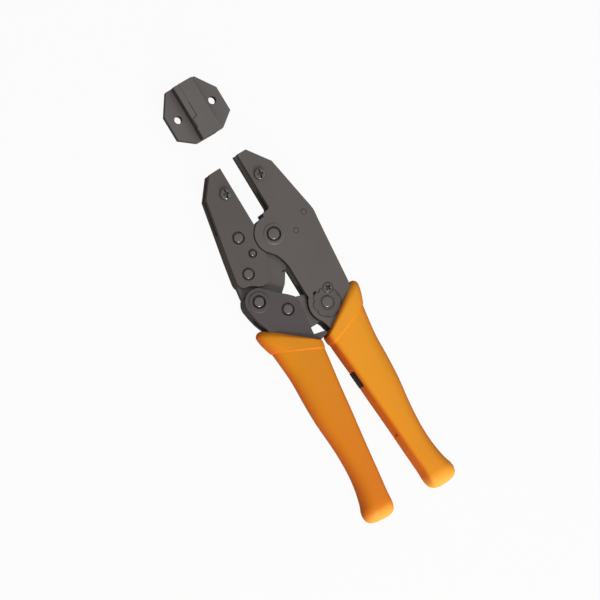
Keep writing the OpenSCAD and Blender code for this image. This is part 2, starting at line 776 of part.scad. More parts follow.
module stop_pin() {
    color(steel) placed()
        rivet(stop_pin_place, stop_pin_r, stop_pin_head_r);
}

module moving_die_screw() {
    color(steel) placed() die_screw(moving_screw);
}

// Handle side plates, side 1 in front and -1 at the back
handle_rivet_r = 1.9;
handle_rivet_places = [moving_side([11.5, -72]), moving_side([9.8, -104]),
    moving_side([9.4, -134])];
pawl_tip = handle_pivot + (ratchet_root_r + ratchet_tooth_h + pawl_gap)
    * [cos(pawl_tip_angle), sin(pawl_tip_angle)];
pawl_pivot = pawl_tip + pawl_len * [cos(-82), sin(-82)];
module handle_plate(side) {
    difference() {
        union() {
            slab(handle_outline, side > 0 ? slot_t / 2 : -face_z, side > 0 ? face_z : -slot_t / 2);
            if (side > 0)
                boss(handle_pivot);
        }
        hole(handle_pivot, handle_pin_r + fit);
        hole(toggle_pivot, toggle_pin_r + fit);
        hole(pawl_pivot, pawl_pin_r + fit);
        blind_post(handle_post_place, handle_post_r + fit);
        for (p = handle_rivet_places)
            hole(p, handle_rivet_r + fit);
        if (side > 0) {
            seat(handle_pivot, handle_pin_head_r, seat_deep);
            seat(toggle_pivot, toggle_pin_head_r, seat_deep);
        }
    }
}

module handle_front_plate() {
    color(steel) placed() handle_plate(1);
}

module handle_back_plate() {
    color(steel) placed() handle_plate(-1);
}

// Bar between the handle plates, from the hood down to the end of the tang
handle_post_place = [-18, -58.5];
handle_post_r = 1.2;
module handle_spacer() {
    color(dark_steel) placed()
        difference() {
            slab(concat([moving_side([1.6, -67])],
                [for (p = tang_inner) moving_side(p + [0.3, 0])],
                [moving_side([6.5, tang_end_y + 0.3]), moving_side([12.5, tang_end_y + 0.3])],
                [for (p = reverse(tang_outer)) moving_side(p - [0.3, 0])],
                [moving_side([19.4, -67]), moving_side([11, -66])]),
                -slot_t / 2, slot_t / 2);
            for (p = handle_rivet_places)
                hole(p, handle_rivet_r + fit);
        }
}

// Flush rivets of the handle tang and the small post of the pawl spring
module handle_rivets() {
    color(bright_steel) placed() {
        for (p = handle_rivet_places)
            at(p, -face_z)
                cylinder(r = handle_rivet_r, h = 2 * face_z);
        blind_post(handle_post_place, handle_post_r);
    }
}

handle_pin_head_r = handle_pin_r + 0.4;
module handle_pivot_pin() {
    color(steel) placed()
        domed_pin(handle_pivot, handle_pin_r, handle_pin_head_r, pin_tail, seat_deep);
}

toggle_pin_head_r = toggle_pin_r + 0.4;
module toggle_pin() {
    color(steel) placed()
        domed_pin(toggle_pivot, toggle_pin_r, toggle_pin_head_r, pin_tail, seat_deep);
}

// Snap rings behind the handle pivot and behind the toggle pin
module handle_rings() {
    color(bright_steel) placed() {
        snap_ring(handle_pivot, handle_pin_r, 120);
        snap_ring(toggle_pivot, toggle_pin_r, 300);
    }
}

module pawl_pin() {
    color(bright_steel) placed()
        at(pawl_pivot, -face_z)
            cylinder(r = pawl_pin_r, h = 2 * face_z);
}

// Extension spring that holds the pawl to the teeth
pawl_hook = mix(pawl_pivot, pawl_tip, 0.45) + [3.1, 0];
module pawl_spring() {
    way = (handle_post_place - pawl_hook) / norm(handle_post_place - pawl_hook);
    color(bright_steel) placed()
        coil_spring(pawl_hook + way * 0.4, handle_post_place - way * (handle_post_r + wire_r + 0.2),
            pawl_spring_r, 4, 1.4);
}

module moving_grip() {
    color(orange) placed()
        translate([grip_shift[0], grip_shift[1], 0])
            rotate([0, 0, -grip_turn])
                mirror([1, 0, 0])
                    grip_shell(true);
}

// Toggle link: a broad link with an eye at each end and a foot that hangs below
module toggle_link() {
    foot_angle = 207.4;
    foot = link_axis + link_foot_r * [cos(foot_angle), sin(foot_angle)];
    color(steel) placed()
        difference() {
            slab(concat(
                arc(toggle_pivot, link_toggle_eye_r, 80, 250, 14),
                [foot + [-0.6, 0.6], foot + [0.6, 0], foot + [4, -0.1], foot + [5, 0.4]],
                arc(link_axis, link_adjuster_eye_r, 255, 440, 16)),
                -mid_t / 2, mid_t / 2);
            hole(toggle_pivot, toggle_pin_r + toggle_play);
            hole(link_axis, adjuster_pin_r + pin_gap);
        }
}

// Pawl lever between the handle plates, its tip just clear of the teeth
module ratchet_pawl() {
    way = (pawl_tip - pawl_pivot) / pawl_len;
    side = [-way[1], way[0]];
    color(bright_steel) placed()
        difference() {
            slab(concat(
                arc(pawl_pivot, 3, 190, 350, 8),
                [pawl_pivot + way * 7 - side * 2.6, pawl_pivot + way * 9.5 - side * 2.4,
                    pawl_pivot + way * 13 - side * 1.2, pawl_tip - side * 0.6,
                    pawl_tip + side * 0.5 - way * 0.1,
                    pawl_pivot + way * 13 + side * 1.6, pawl_pivot + way * 6 + side * 2.6]),
                -mid_t / 2, mid_t / 2);
            hole(pawl_pivot, pawl_pin_r + pin_gap);
        }
}

// Outline of the closed die pair, from the middle of its lower edge
die_low_half = 9;
die_top_half = 9.7;
die_side_low = 6.7;
die_side_high = 22;
ear_t = slot_t - 2 * ear_gap;
block_half = jaw_gap / 2 - block_gap;
ear_outline = [[die_low_half, 0], [die_w / 2, die_side_low], [die_w / 2, die_side_high],
    [die_top_half, die_h], [-die_top_half, die_h], [-die_w / 2, die_side_high],
    [-die_w / 2, die_side_low], [-die_low_half, 0]];

// Parting line of the die pair: the nest keeps what lies to its right
part_x = -2.6;
foot_top = 13.3;
foot_low = 7.6;
foot_line = [[part_x, foot_top], [-5.6, foot_top - 0.7], [-5.6, foot_low],
    [-block_half, foot_low - 0.8]];
parting = concat([[part_x, die_h + cut]], foot_line, [[-block_half, -cut]]);

// Seam that shows in front along the foot and a little above it
seam_top = 22.1;
seam_deep = 1.2;
module seam() {
    slab(concat([[part_x, seam_top]], foot_line, [[-block_half - cut, foot_low - 0.8 - cut],
        [-block_half - cut, foot_low - 0.8]],
        [for (p = reverse(foot_line)) p + [-seam_w, seam_w]],
        [[part_x - seam_w, seam_top - seam_w]]),
        die_block_t / 2 - seam_deep, die_block_t / 2 + cut);
}

// Both ears and the raised block of the die pair as one piece
module die_pair_blank() {
    slab(ear_outline, -ear_t / 2, ear_t / 2);
    slab([[-block_half, 0], [block_half, 0], [block_half, die_h], [-block_half, die_h]],
        -die_block_t / 2, die_block_t / 2);
}

module die_place() {
    placed()
        translate([jaw_mid_x, die_low_y, 0])
            children();
}

module ear_hole(side) {
    translate([side * die_screw_x, ear_hole_up, -slot_t])
        cylinder(r = ear_hole_r, h = 2 * slot_t);
}

// Nest half of the die pair, with the pocket that holds the plug
module die_nest() {
    color(steel) die_place()
        difference() {
            intersection() {
                die_pair_blank();
                translate([0, 0, -die_block_t])
                    linear_extrude(2 * die_block_t)
                        polygon(concat(parting, [[die_w, -cut], [die_w, die_h + cut]]));
            }
            ear_hole(1);
            translate([part_x - cut, foot_top, -die_block_t / 2 - cut])
                cube([pocket_h + cut, pocket_w, die_block_t - pocket_wall + cut]);
        }
}

// Punch half of the die pair
module die_punch() {
    color(steel) die_place()
        difference() {
            intersection() {
                die_pair_blank();
                translate([-parting_gap, parting_gap, -die_block_t])
                    linear_extrude(2 * die_block_t)
                        polygon(concat(parting, [[-die_w, -2 * cut], [-die_w, die_h + cut]]));
            }
            ear_hole(-1);
            seam();
        }
}

// Row of contact blades that stand out of the punch into the plug pocket
blade_out = 2.2;
blade_l = 4;
blade_row_up = foot_top + pocket_w / 2;
module contact_blades() {
    color(bright_steel) die_place()
        for (i = [0:blade_count - 1])
            translate([part_x - parting_gap, blade_row_up + (i - (blade_count - 1) / 2) * blade_pitch
                - blade_t / 2, -1])
                cube([blade_out, blade_t, blade_l]);
}

fixed_front_plate();
fixed_back_plate();
fixed_jaw_spacer();
flush_pins();
tang_spacer();
tang_rivets();
main_pivot_pin();
frame_rings();
adjuster_pin();
adjuster_wheel();
lock_screw();
fixed_die_screw();
spring_post();
return_spring();
fixed_grip();
moving_front_plate();
moving_back_plate();
moving_lever();
jaw_rivets();
stop_pin();
moving_die_screw();
handle_front_plate();
handle_back_plate();
handle_spacer();
handle_rivets();
handle_pivot_pin();
toggle_pin();
handle_rings();
pawl_pin();
pawl_spring();
moving_grip();
toggle_link();
ratchet_pawl();
die_nest();
die_punch();
contact_blades();
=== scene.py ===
# %% [markdown]
# # A ratcheting crimping tool on a white table
# This tool presses plugs onto the ends of cables. It is a stack of blackened steel
# plates, a handful of riveted pins and two orange grips with hoods, and its die pair
# lies ahead of the jaws. All of it exists as exact solids, which could simply be
# painted. But solids have knife edges and hard pin heads, and the eye takes soft
# edges and small highlights for real. So the solids serve as a guide, and what shows
# is rounded or modelled again, in the same places and on the same moving bodies.

# %% Load the exact frame
import json
import math

import bmesh
import bpy
from mathutils import Matrix, Vector

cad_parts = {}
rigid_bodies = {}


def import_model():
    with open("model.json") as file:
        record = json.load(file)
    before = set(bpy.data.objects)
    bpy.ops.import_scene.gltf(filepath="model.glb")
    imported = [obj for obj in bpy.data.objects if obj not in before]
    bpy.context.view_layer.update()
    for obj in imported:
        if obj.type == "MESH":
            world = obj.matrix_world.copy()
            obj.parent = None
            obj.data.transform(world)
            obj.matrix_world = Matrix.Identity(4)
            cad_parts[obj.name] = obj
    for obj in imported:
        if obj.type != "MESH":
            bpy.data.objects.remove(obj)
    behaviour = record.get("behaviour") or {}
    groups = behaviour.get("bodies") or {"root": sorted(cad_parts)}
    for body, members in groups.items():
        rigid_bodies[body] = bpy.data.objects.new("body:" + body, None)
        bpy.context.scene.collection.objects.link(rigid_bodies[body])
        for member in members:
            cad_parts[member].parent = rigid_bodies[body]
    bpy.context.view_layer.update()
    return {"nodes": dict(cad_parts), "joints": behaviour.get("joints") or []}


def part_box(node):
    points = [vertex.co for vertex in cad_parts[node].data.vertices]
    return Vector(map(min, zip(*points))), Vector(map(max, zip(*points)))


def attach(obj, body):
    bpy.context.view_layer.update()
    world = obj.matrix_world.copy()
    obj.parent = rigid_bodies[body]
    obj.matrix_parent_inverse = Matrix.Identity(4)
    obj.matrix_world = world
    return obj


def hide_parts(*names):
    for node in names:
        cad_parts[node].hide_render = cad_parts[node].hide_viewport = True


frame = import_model()

# %% [markdown]
# Sizes below are in millimetres, measured from the main pivot, with Z counted from
# the middle of the tool's thickness, so that the plates' outer faces lie at `FACE`.
# One small function turns them into metres in the frame, so every number can be read
# like a dimension on a drawing.

# %% Millimetres from the main pivot
MM = 0.001
FACE = 5.85
pivot = {j["name"]: Vector(j["pos_m"]) for j in frame["joints"] if j["type"] == "hinge"}
main_pivot = pivot["jaw"]


def spot(x, y, z=0.0):
    return main_pivot + Vector((x, y, z)) * MM


def offset(point):
    return (point - main_pivot) / MM


print("pivots, mm:", {k: tuple(round(c, 2) for c in offset(p)) for k, p in pivot.items()})

# %% [markdown]
# ## Camera
# The photograph looks almost straight down, from 17.5 degrees to the left of the
# tool, with the tool turned 31 degrees in the picture. Three turning angles could
# say that, but they are hard to guess. Three directions say it plainly: what points
# at the viewer, what points right in the picture, and what points up. A long lens
# from two metres keeps parallel edges parallel, as in a catalogue picture.

# %% Camera
LEAN = math.radians(17.5)
TURN = math.radians(31.2)
AIM = spot(-5.13, -39.85)
DISTANCE = 2.0
VIEW_WIDTH = 0.3411
SENSOR = 36
towards = Vector((-math.sin(LEAN), 0, math.cos(LEAN)))
across = Vector((math.cos(LEAN), 0, math.sin(LEAN)))
along = Vector((0, 1, 0))
right = across * math.cos(TURN) - along * math.sin(TURN)
up = across * math.sin(TURN) + along * math.cos(TURN)

bpy.ops.object.camera_add()
camera = bpy.context.object
camera.name = "camera"
camera.data.sensor_width = SENSOR
camera.data.lens = SENSOR * DISTANCE / VIEW_WIDTH
camera.data.clip_end = 20
place = Matrix((right, up, towards)).transposed().to_4x4()
place.translation = AIM + towards * DISTANCE
camera.matrix_world = place
bpy.context.scene.camera = camera
bpy.context.scene.view_settings.view_transform = "Standard"
print("lens:", round(camera.data.lens, 1), "mm")

# %% [markdown]
# ## Light
# Light comes from below the picture's lower edge: the ends of the grips glow, and
# every pin head has its bright spot low down. One big soft lamp would light the tool
# but make no spots. So a small key lamp makes the spots, a broad low lamp the glow,
# a weak side lamp lifts the flat steel, and the white world fills in.

# %% Lights
MIDDLE = spot(-5, -40)


def lamp(name, heading, size, power, reach=1.2):
    bpy.ops.object.light_add(type="AREA")
    light = bpy.context.object
    light.name = name
    light.data.shape = "DISK"
    light.data.size = size
    light.data.energy = power
    heading = heading.normalized()
    light.location = MIDDLE + heading * reach
    light.rotation_euler = heading.to_track_quat("Z", "Y").to_euler()
    print(f"{name}: {power} W, {size} m wide, {reach} m away")


lamp("key_lamp", towards * 0.6 - up * 0.68 + right * 0.4, size=0.22, power=8)
lamp("low_lamp", towards * 0.5 - up * 1.5 + right * 0.5, size=0.8, power=7)
lamp("side_lamp", towards * 1.0 + up * 0.3 + right * 0.7, size=0.8, power=1.5, reach=0.75)

# %% [markdown]
# ## Writing materials as sums
# A node tree could be built link by link, but it is easier to read as arithmetic.
# `Wire` holds one output socket and knows how to add, subtract and multiply, so a
# mask can be written the way it would be said aloud. Every other node comes from
# `Recipe.add`, which takes its type, its settings and what goes into its sockets.

# %% A socket that does arithmetic
class Wire:
    def __init__(self, recipe, socket):
        self.recipe = recipe
        self.socket = socket

    def math(self, operation, first, second):
        return self.recipe.add("ShaderNodeMath", {"operation": operation}, {0: first, 1: second})

    def __add__(self, other):
        return self.math("ADD", self, other)

    def __radd__(self, other):
        return self.math("ADD", other, self)

    def __sub__(self, other):
        return self.math("SUBTRACT", self, other)

    def __rsub__(self, other):
        return self.math("SUBTRACT", other, self)

    def __mul__(self, other):
        return self.math("MULTIPLY", self, other)

    def __rmul__(self, other):
        return self.math("MULTIPLY", other, self)

    def clamped(self):
        return self.recipe.add("ShaderNodeClamp", {}, {0: self})


# %% A node tree under construction
class Recipe:
    def __init__(self, owner):
        owner.use_nodes = True
        self.tree = owner.node_tree

    def feed(self, socket, value):
        if isinstance(value, Wire):
            self.tree.links.new(value.socket, socket)
        else:
            socket.default_value = value

    def add(self, kind, settings, values, output=0):
        node = self.tree.nodes.new(kind)
        for name, value in settings.items():
            setattr(node, name, value)
        for name, value in values.items():
            self.feed(node.inputs[name], value)
        return Wire(self, node.outputs[output])


# %% [markdown]
# ## White table and world
# The ground of the picture is plain white. Stronger lamps would make it white, but
# they would wash out the tool. Instead, a camera, mirror or glass ray that meets the
# table or the world sees a white of strength 1, while the light that these two throw
# on the tool stays moderate. A small share of the table is real paint, so that the
# tool's shadow stays visible.

# %% World
AMBIENT = 0.3
SEEING_RAYS = ("Is Camera Ray", "Is Glossy Ray", "Is Transmission Ray")


def seen(recipe):
    camera_ray, mirror_ray, glass_ray = (
        recipe.add("ShaderNodeLightPath", {}, {}, name) for name in SEEING_RAYS)
    return (camera_ray + mirror_ray + glass_ray).clamped()


world = bpy.data.worlds.new("white_world")
bpy.context.scene.world = world
sky = Recipe(world)
background = sky.tree.nodes["Background"]
sky.feed(background.inputs["Color"], (1, 1, 1, 1))
sky.feed(background.inputs["Strength"], seen(sky) * (1 - AMBIENT) + AMBIENT)
print("light of the world on the tool:", AMBIENT)

# %% Table
TABLE_SIZE, GAP_BELOW = 6, 0.3 * MM
GLOWING_SHARE = 0.95
bpy.ops.mesh.primitive_plane_add(size=TABLE_SIZE, location=(0, 0, -GAP_BELOW))
table = bpy.context.object
table.name = "table"
paint = bpy.data.materials.new("table_white")
ground = Recipe(paint)
ground.tree.nodes.remove(ground.tree.nodes["Principled BSDF"])
matt = ground.add("ShaderNodeBsdfDiffuse", {}, {"Color": (0.5, 0.5, 0.5, 1)})
glow = ground.add("ShaderNodeEmission", {}, {"Strength": 1.0})
share = seen(ground) * GLOWING_SHARE
mixed = ground.add("ShaderNodeMixShader", {}, {0: share, 1: matt, 2: glow})
ground.feed(ground.tree.nodes["Material Output"].inputs["Surface"], mixed)
table.data.materials.append(paint)
print("share of the table that glows:", GLOWING_SHARE)

# %% [markdown]
# ## Finishes
# Steel and plastic share a few steps: a noise, a soft mask between two values, a
# blend of two colours, a fine bump. They could be written out for each material, but
# `Finish` keeps them in one place. `facing` says how much the surface looks out of the
# tool's front, and `point` is the place on the piece, in metres in the frame.

# %% A material under construction
class Finish(Recipe):
    def __init__(self, name):
        self.material = bpy.data.materials.new(name)
        super().__init__(self.material)
        self.shader = self.tree.nodes["Principled BSDF"]
        self.point = self.add("ShaderNodeTexCoord", {}, {}, "Object")
        normal = self.add("ShaderNodeNewGeometry", {}, {}, "Normal")
        self.facing = self.add("ShaderNodeSeparateXYZ", {}, {0: normal}, "Z")

    def noise(self, scale, detail=2.0, roughness=0.5):
        return self.add("ShaderNodeTexNoise", {}, {
            "Vector": self.point, "Scale": scale, "Detail": detail, "Roughness": roughness}, "Fac")

    def ramp(self, wire, low, high):
        return self.add("ShaderNodeMapRange", {}, {
            "Value": wire, "From Min": low, "From Max": high, "To Min": 0.0, "To Max": 1.0})

    def blend(self, factor, first, second):
        return self.add("ShaderNodeMix", {"data_type": "RGBA"}, {0: factor, 6: first, 7: second}, 2)

    def shade(self, colour, factor):
        return self.add("ShaderNodeVectorMath", {"operation": "SCALE"},
                        {0: colour, "Scale": factor}, "Vector")

    def bump(self, height, depth):
        return self.add("ShaderNodeBump", {}, {"Height": height, "Strength": 1.0, "Distance": depth})

    def wear(self, **sockets):
        for name, value in sockets.items():
            socket = name.replace("_", " ").title().replace("Ior", "IOR")
            self.feed(self.shader.inputs[socket], value)
        print("finish:", self.material.name)
        return self.material


# %% [markdown]
# ### Blackened steel
# The plates are pressed from sheet, tumbled, and blackened in a bath. The faces come
# out a warm charcoal with a very fine tooth, and the cut edges are browner. The walls
# are also painted darker than the faces, a painted shade for edges that turn away
# from the light. A material of their own, face by face, could carry the wall tone,
# but the direction of the surface itself is a mask that fits every part and holds
# from any side. Some cloudiness and small pale rub marks keep the steel from looking
# painted.
# Handling has polished the rounded shoulders of turned heads: `rim` says how much.

# %% Blackened steel
def black_steel(name, face, wall, gloss=0.5, shine=0.25, rim=0.0):
    f = Finish(name)
    flat = f.ramp(f.facing * f.facing, 0.25, 0.8)
    cloud = f.noise(55, 3.0)
    grain = f.noise(2600, 2.0, 0.6)
    rub = f.ramp(f.noise(700, 5.0, 0.7), 0.62, 0.78)
    polished = f.ramp(f.facing, 0.985, 0.93) * f.ramp(f.facing, 0.35, 0.6) * rim
    # Painted shade: walls take the wall tone, the cut edges' own brown darkened further as shade where
    # the surface turns from the light.
    tone = f.blend(flat, (*wall, 1), (*face, 1))
    level = 0.80 + cloud * 0.22 + grain * 0.16 + rub * 0.10
    roughness = 0.85 - flat * (0.75 - gloss) - grain * 0.14 + cloud * 0.06
    roughness = roughness - rub * 0.05 - polished * 0.5
    return f.wear(base_color=f.shade(tone, level), specular_ior_level=shine,
                  roughness=roughness.clamped(), coat_weight=polished.clamped(),
                  coat_roughness=0.06, normal=f.bump(grain + rub * 0.3, 0.06 * MM))


# %% The finishes of the blackened parts
# The second colour of each finish is its wall tone: cut-edge brown plus painted shade.
WALL = (0.023, 0.012, 0.008)
plate_steel = black_steel("plate_steel", (0.107, 0.094, 0.088), WALL, rim=0.25)
# jaw_steel: the same blackened steel with slightly darker faces, painted shade for the weaker light on
# the jaw.
jaw_steel = black_steel("jaw_steel", (0.095, 0.083, 0.079), (0.034, 0.016, 0.010), rim=0.08)
# handle_steel: the same blackened steel with darker faces again, painted shade for the weaker light on
# the handle plates.
handle_steel = black_steel("handle_steel", (0.078, 0.067, 0.065), WALL)
lever_steel = black_steel("lever_steel", (0.106, 0.096, 0.089), (0.028, 0.018, 0.013))
# link_steel: lighter faces than the other plates, painted light that makes up for the shadow the link
# lies in between the plates.
link_steel = black_steel("link_steel", (0.135, 0.120, 0.114), (0.03, 0.022, 0.018))
# spacer_steel: near black, painted shade for the spacers deep between the plates and for the lugs in
# the grip windows.
spacer_steel = black_steel("spacer_steel", (0.035, 0.024, 0.018), (0.028, 0.013, 0.006),
                           gloss=0.65, shine=0.1)
die_steel = black_steel("die_steel", (0.130, 0.118, 0.113), (0.034, 0.024, 0.020),
                        gloss=0.45, rim=0.3)
pin_steel = black_steel("pin_steel", (0.080, 0.072, 0.069), WALL, shine=0.5, rim=0.9)
screw_steel = black_steel("screw_steel", (0.074, 0.066, 0.063), (0.012, 0.008, 0.006),
                          shine=0.5, rim=0.8)

# %% [markdown]
# ### Plain steel
# The rings, the rivets under the grips, the pawl and the wire are not blackened.
# Ground steel has fine marks in one direction. A picture of such steel could be laid
# on, but a noise stretched along one axis gives the marks too, at any size.

# %% Plain steel and spring wire
def plain_steel(name, tone, gloss, metal=0.9):
    f = Finish(name)
    stretched = f.add("ShaderNodeMapping", {}, {"Vector": f.point, "Scale": (300, 4000, 4000)})
    marks = f.add("ShaderNodeTexNoise", {}, {"Vector": stretched, "Scale": 1.0, "Detail": 3.0}, "Fac")
    stain = f.noise(300, 3.0)
    stained = tuple(c * 0.8 for c in tone)
    level = 0.78 + marks * 0.25 + stain * 0.15
    return f.wear(base_color=f.shade(f.blend(stain, (*tone, 1), (*stained, 1)), level),
                  roughness=(gloss + marks * 0.16 + stain * 0.1).clamped(), metallic=metal,
                  normal=f.bump(marks, 0.03 * MM))


bright_steel = plain_steel("plain_steel", (0.36, 0.345, 0.33), 0.26)
spring_wire = plain_steel("spring_wire", (0.5, 0.49, 0.47), 0.18, 1.0)
# oiled_wire: the springs' wire in a near-black tone, painted shade for springs that lie inside the
# tool.
oiled_wire = plain_steel("oiled_wire", (0.06, 0.052, 0.047), 0.3, 0.3)

# %% [markdown]
# ### Orange grip plastic
# The grips are mouldings in a semi-gloss orange. Where the surface turns away from
# the front the orange is painted deeper and redder, a painted shade for the flanks
# that turn from the light. Towards the hood it is painted lighter, a painted fall of
# light along the grip, and the tips are painted palest, a painted highlight where the
# light from below strikes the ends. The tones could be painted into a texture, but
# soft masks on the surface direction and on the way along the grip need no texture
# and hold from any side. The mould has a fine spark-eroded grain, and hands have
# polished it unevenly.

# %% Orange plastic
# SHADED_SIDE_TONES: deeper, redder orange for the flanks, painted shade.
SHADED_SIDE_TONES = (0.64, 0.135, 0.010, 1), (0.71, 0.160, 0.012, 1)
HOOD_PLACE, BODY_PLACE = -0.025, -0.11
TIP_START, TIP_FULL = -0.127, -0.135


def orange_plastic(name, hood, body, tip_highlight):
    f = Finish(name)
    flat = f.ramp(f.facing * f.facing, 0.1, 0.8)
    along_grip = f.add("ShaderNodeSeparateXYZ", {}, {0: f.point}, "Y")
    cloud = f.noise(28, 2.0)
    grain = f.noise(3200, 2.0, 0.5)
    polish = f.noise(60, 4.0, 0.6)
    # Painted light: the front is lighter towards the hood and darker along the body.
    front = f.blend(f.ramp(along_grip, HOOD_PLACE, BODY_PLACE), (*hood, 1), (*body, 1))
    tone = f.blend(flat, f.blend(cloud, *SHADED_SIDE_TONES), front)
    # Painted highlight: the tip tone takes over at the end of the grip.
    tone = f.blend(f.ramp(along_grip, TIP_START, TIP_FULL), tone, (*tip_highlight, 1))
    level = 0.93 + grain * 0.06 + cloud * 0.08
    roughness = 0.8 - flat * 0.42 + polish * 0.12 - grain * 0.06
    return f.wear(base_color=f.shade(tone, level), roughness=roughness.clamped(),
                  normal=f.bump(grain, 0.05 * MM), specular_ior_level=0.15)


# Both grips are the same plastic. The moving grip's darker hood and body paint the shade of the weaker
# light on its side.
fixed_orange = orange_plastic("fixed_orange", hood=(0.83, 0.318, 0.014),
                              body=(0.745, 0.262, 0.011), tip_highlight=(0.87, 0.385, 0.05))
moving_orange = orange_plastic("moving_orange", hood=(0.71, 0.248, 0.008),
                               body=(0.675, 0.183, 0.008), tip_highlight=(0.90, 0.42, 0.06))

# %% [markdown]
# ## Modelling helpers
# Meshes could be typed in as lists of points, but nobody can picture those. So
# everything new is made as it is by hand: add a primitive, select, and pull it into
# shape. Operators act on whatever is selected, so each step starts by deselecting.
# Without a window a turn needs its centre given and goes the other way round, and
# `turn` sees to both. At the end `fix_place` writes a piece's place into its mesh,
# because the export puts every object at the origin.

# %% Selecting and turning
def start():
    bpy.ops.object.select_all(action="DESELECT")


def take(piece):
    start()
    piece.select_set(True)
    bpy.context.view_layer.objects.active = piece


def edit(piece):
    bpy.context.view_layer.objects.active = piece
    bpy.ops.object.mode_set(mode="EDIT")
    bpy.ops.mesh.select_all(action="SELECT")


def leave_edit():
    bpy.ops.object.mode_set(mode="OBJECT")


def pick(piece, test, kind="verts"):
    bpy.ops.mesh.select_all(action="DESELECT")
    bpy.ops.mesh.select_mode(type={"verts": "VERT", "edges": "EDGE"}[kind])
    mesh = bmesh.from_edit_mesh(piece.data)
    for item in getattr(mesh, kind):
        item.select = test(item)
    mesh.select_flush_mode()
    bmesh.update_edit_mesh(piece.data)


def turn(angle, centre, axis="Z"):
    bpy.ops.transform.rotate(value=-angle, orient_axis=axis, center_override=centre)


# %% Finishing a piece and giving it its body
def fix_place(piece):
    take(piece)
    bpy.ops.object.transform_apply(location=True, rotation=True, scale=True)


def settle(piece, material, sharp=35):
    fix_place(piece)
    bpy.ops.object.shade_smooth_by_angle(angle=math.radians(sharp))
    piece.data.materials.clear()
    piece.data.materials.append(material)
    return piece


def belong(piece, body, slot, *nodes):
    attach(piece, body)
    if nodes:
        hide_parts(*nodes)
    print(f"{piece.name}: {len(piece.data.polygons)} faces, rides on {body}")


# %% [markdown]
# ## Steel parts with tumbled edges
# The plates, lever, link, blocks and dies have the right outline already, but the
# real ones have no knife edges, because they are tumbled with stones. They could be
# drawn anew, but a copy keeps every hole where it belongs. So each solid is copied,
# its loose triangles are merged and dissolved into clean faces, and a narrow bevel
# rounds every sharp edge. The slope round a boss is too flat for the bevel. Its edges
# are marked sharp instead, or smooth shading would swallow them.

# %% Copy a solid
def copy_of(node):
    take(frame["nodes"][node])
    bpy.ops.object.duplicate()
    piece = bpy.context.object
    piece.name = piece.data.name = node + "_edged"
    bpy.ops.object.parent_clear(type="CLEAR_KEEP_TRANSFORM")
    for key in list(piece.keys()):
        del piece[key]
    edit(piece)
    bpy.ops.mesh.remove_doubles(threshold=0.001 * MM)
    bpy.ops.mesh.dissolve_limited(angle_limit=math.radians(1))
    return piece


# %% Round the edges of the copy
TUMBLED, PRESSED, GROUND = 0.16, 0.22, 0.12
BEVEL_ANGLE = math.radians(36)
NEARLY_LEVEL = 0.8
SLIGHT_FOLD = 0.1


def low_ridge(edge):
    if len(edge.link_faces) < 2:
        return False
    level = min(abs(face.normal.z) for face in edge.link_faces)
    return level > NEARLY_LEVEL and edge.calc_face_angle(0) > SLIGHT_FOLD


def tumbled(node, body, slot, material, width=TUMBLED, reshape=None):
    piece = copy_of(node)
    if reshape:
        reshape(piece)
    leave_edit()
    bevel = piece.modifiers.new("tumbled", "BEVEL")
    bevel.width = width * MM
    bevel.segments = 2
    bevel.limit_method = "ANGLE"
    bevel.angle_limit = BEVEL_ANGLE
    bevel.miter_outer = "MITER_ARC"
    bevel.harden_normals = True
    bpy.ops.object.modifier_apply(modifier=bevel.name)
    settle(piece, material)
    edit(piece)
    pick(piece, low_ridge, "edges")
    bpy.ops.mesh.mark_sharp()
    leave_edit()
    weigh = piece.modifiers.new("flat faces", "WEIGHTED_NORMAL")
    weigh.keep_sharp = True
    weigh.weight = 100
    bpy.ops.object.modifier_apply(modifier=weigh.name)
    belong(piece, body, slot, node)
    return piece


# %% [markdown]
# The return spring's hook passes through a slot in the edge of the lever, and the
# exact slot is a little wide for the wire. Filling it would bury the hook. So its
# walls are drawn in until they almost touch the wire: turn the slot level, squeeze
# it, and turn it back.

# %% Close the slot round the wire
HOOK, POST = spot(-5.4, -20.8), spot(19.4, -25)
SLOT_HALF, SLOT_REACH = 0.95 * MM, 4.6 * MM
SQUEEZE = 0.45


def close_slot(piece):
    way = (POST - HOOK).normalized()
    heading = math.atan2(way.y, way.x)

    def beside_wire(v):
        gap = v.co - HOOK
        return abs(gap.cross(way).z) < SLOT_HALF and -SLOT_HALF < gap.dot(way) < SLOT_REACH

    pick(piece, beside_wire)
    turn(-heading, HOOK)
    bpy.ops.transform.resize(value=(1, SQUEEZE, 1), center_override=HOOK)
    turn(heading, HOOK)


# %% [markdown]
# Pressing leaves a low boss round two of the pivots, and the light from below draws
# a bright crescent under each. A brighter finish could stress it, but it would shine
# everywhere, so the bosses are raised a little instead. The small index hole above
# the adjuster is widened in the same way, by picking the points round it. The punch
# half of the die moves closer to the nest half, so that no light shows through the
# parting gap.

# %% Small changes of form
ABOVE_PLATE, BOSS_LIFT = spot(0, 0, FACE + 0.05).z, 0.25
INDEX_HOLE, INDEX_RIM, INDEX_GROWTH = spot(2.5, -41.3), 1.2, 1.35
PUNCH_STEP = 0.12


def raise_boss(piece):
    pick(piece, lambda v: v.co.z > ABOVE_PLATE)
    bpy.ops.transform.translate(value=(0, 0, BOSS_LIFT * MM))


def widen_index_hole(piece):
    raise_boss(piece)
    pick(piece, lambda v: (v.co - INDEX_HOLE).xy.length < INDEX_RIM * MM)
    bpy.ops.transform.resize(value=(INDEX_GROWTH, INDEX_GROWTH, 1), center_override=INDEX_HOLE)


def press_together(piece):
    bpy.ops.mesh.select_all(action="SELECT")
    bpy.ops.transform.translate(value=(PUNCH_STEP * MM, -PUNCH_STEP * MM, 0))


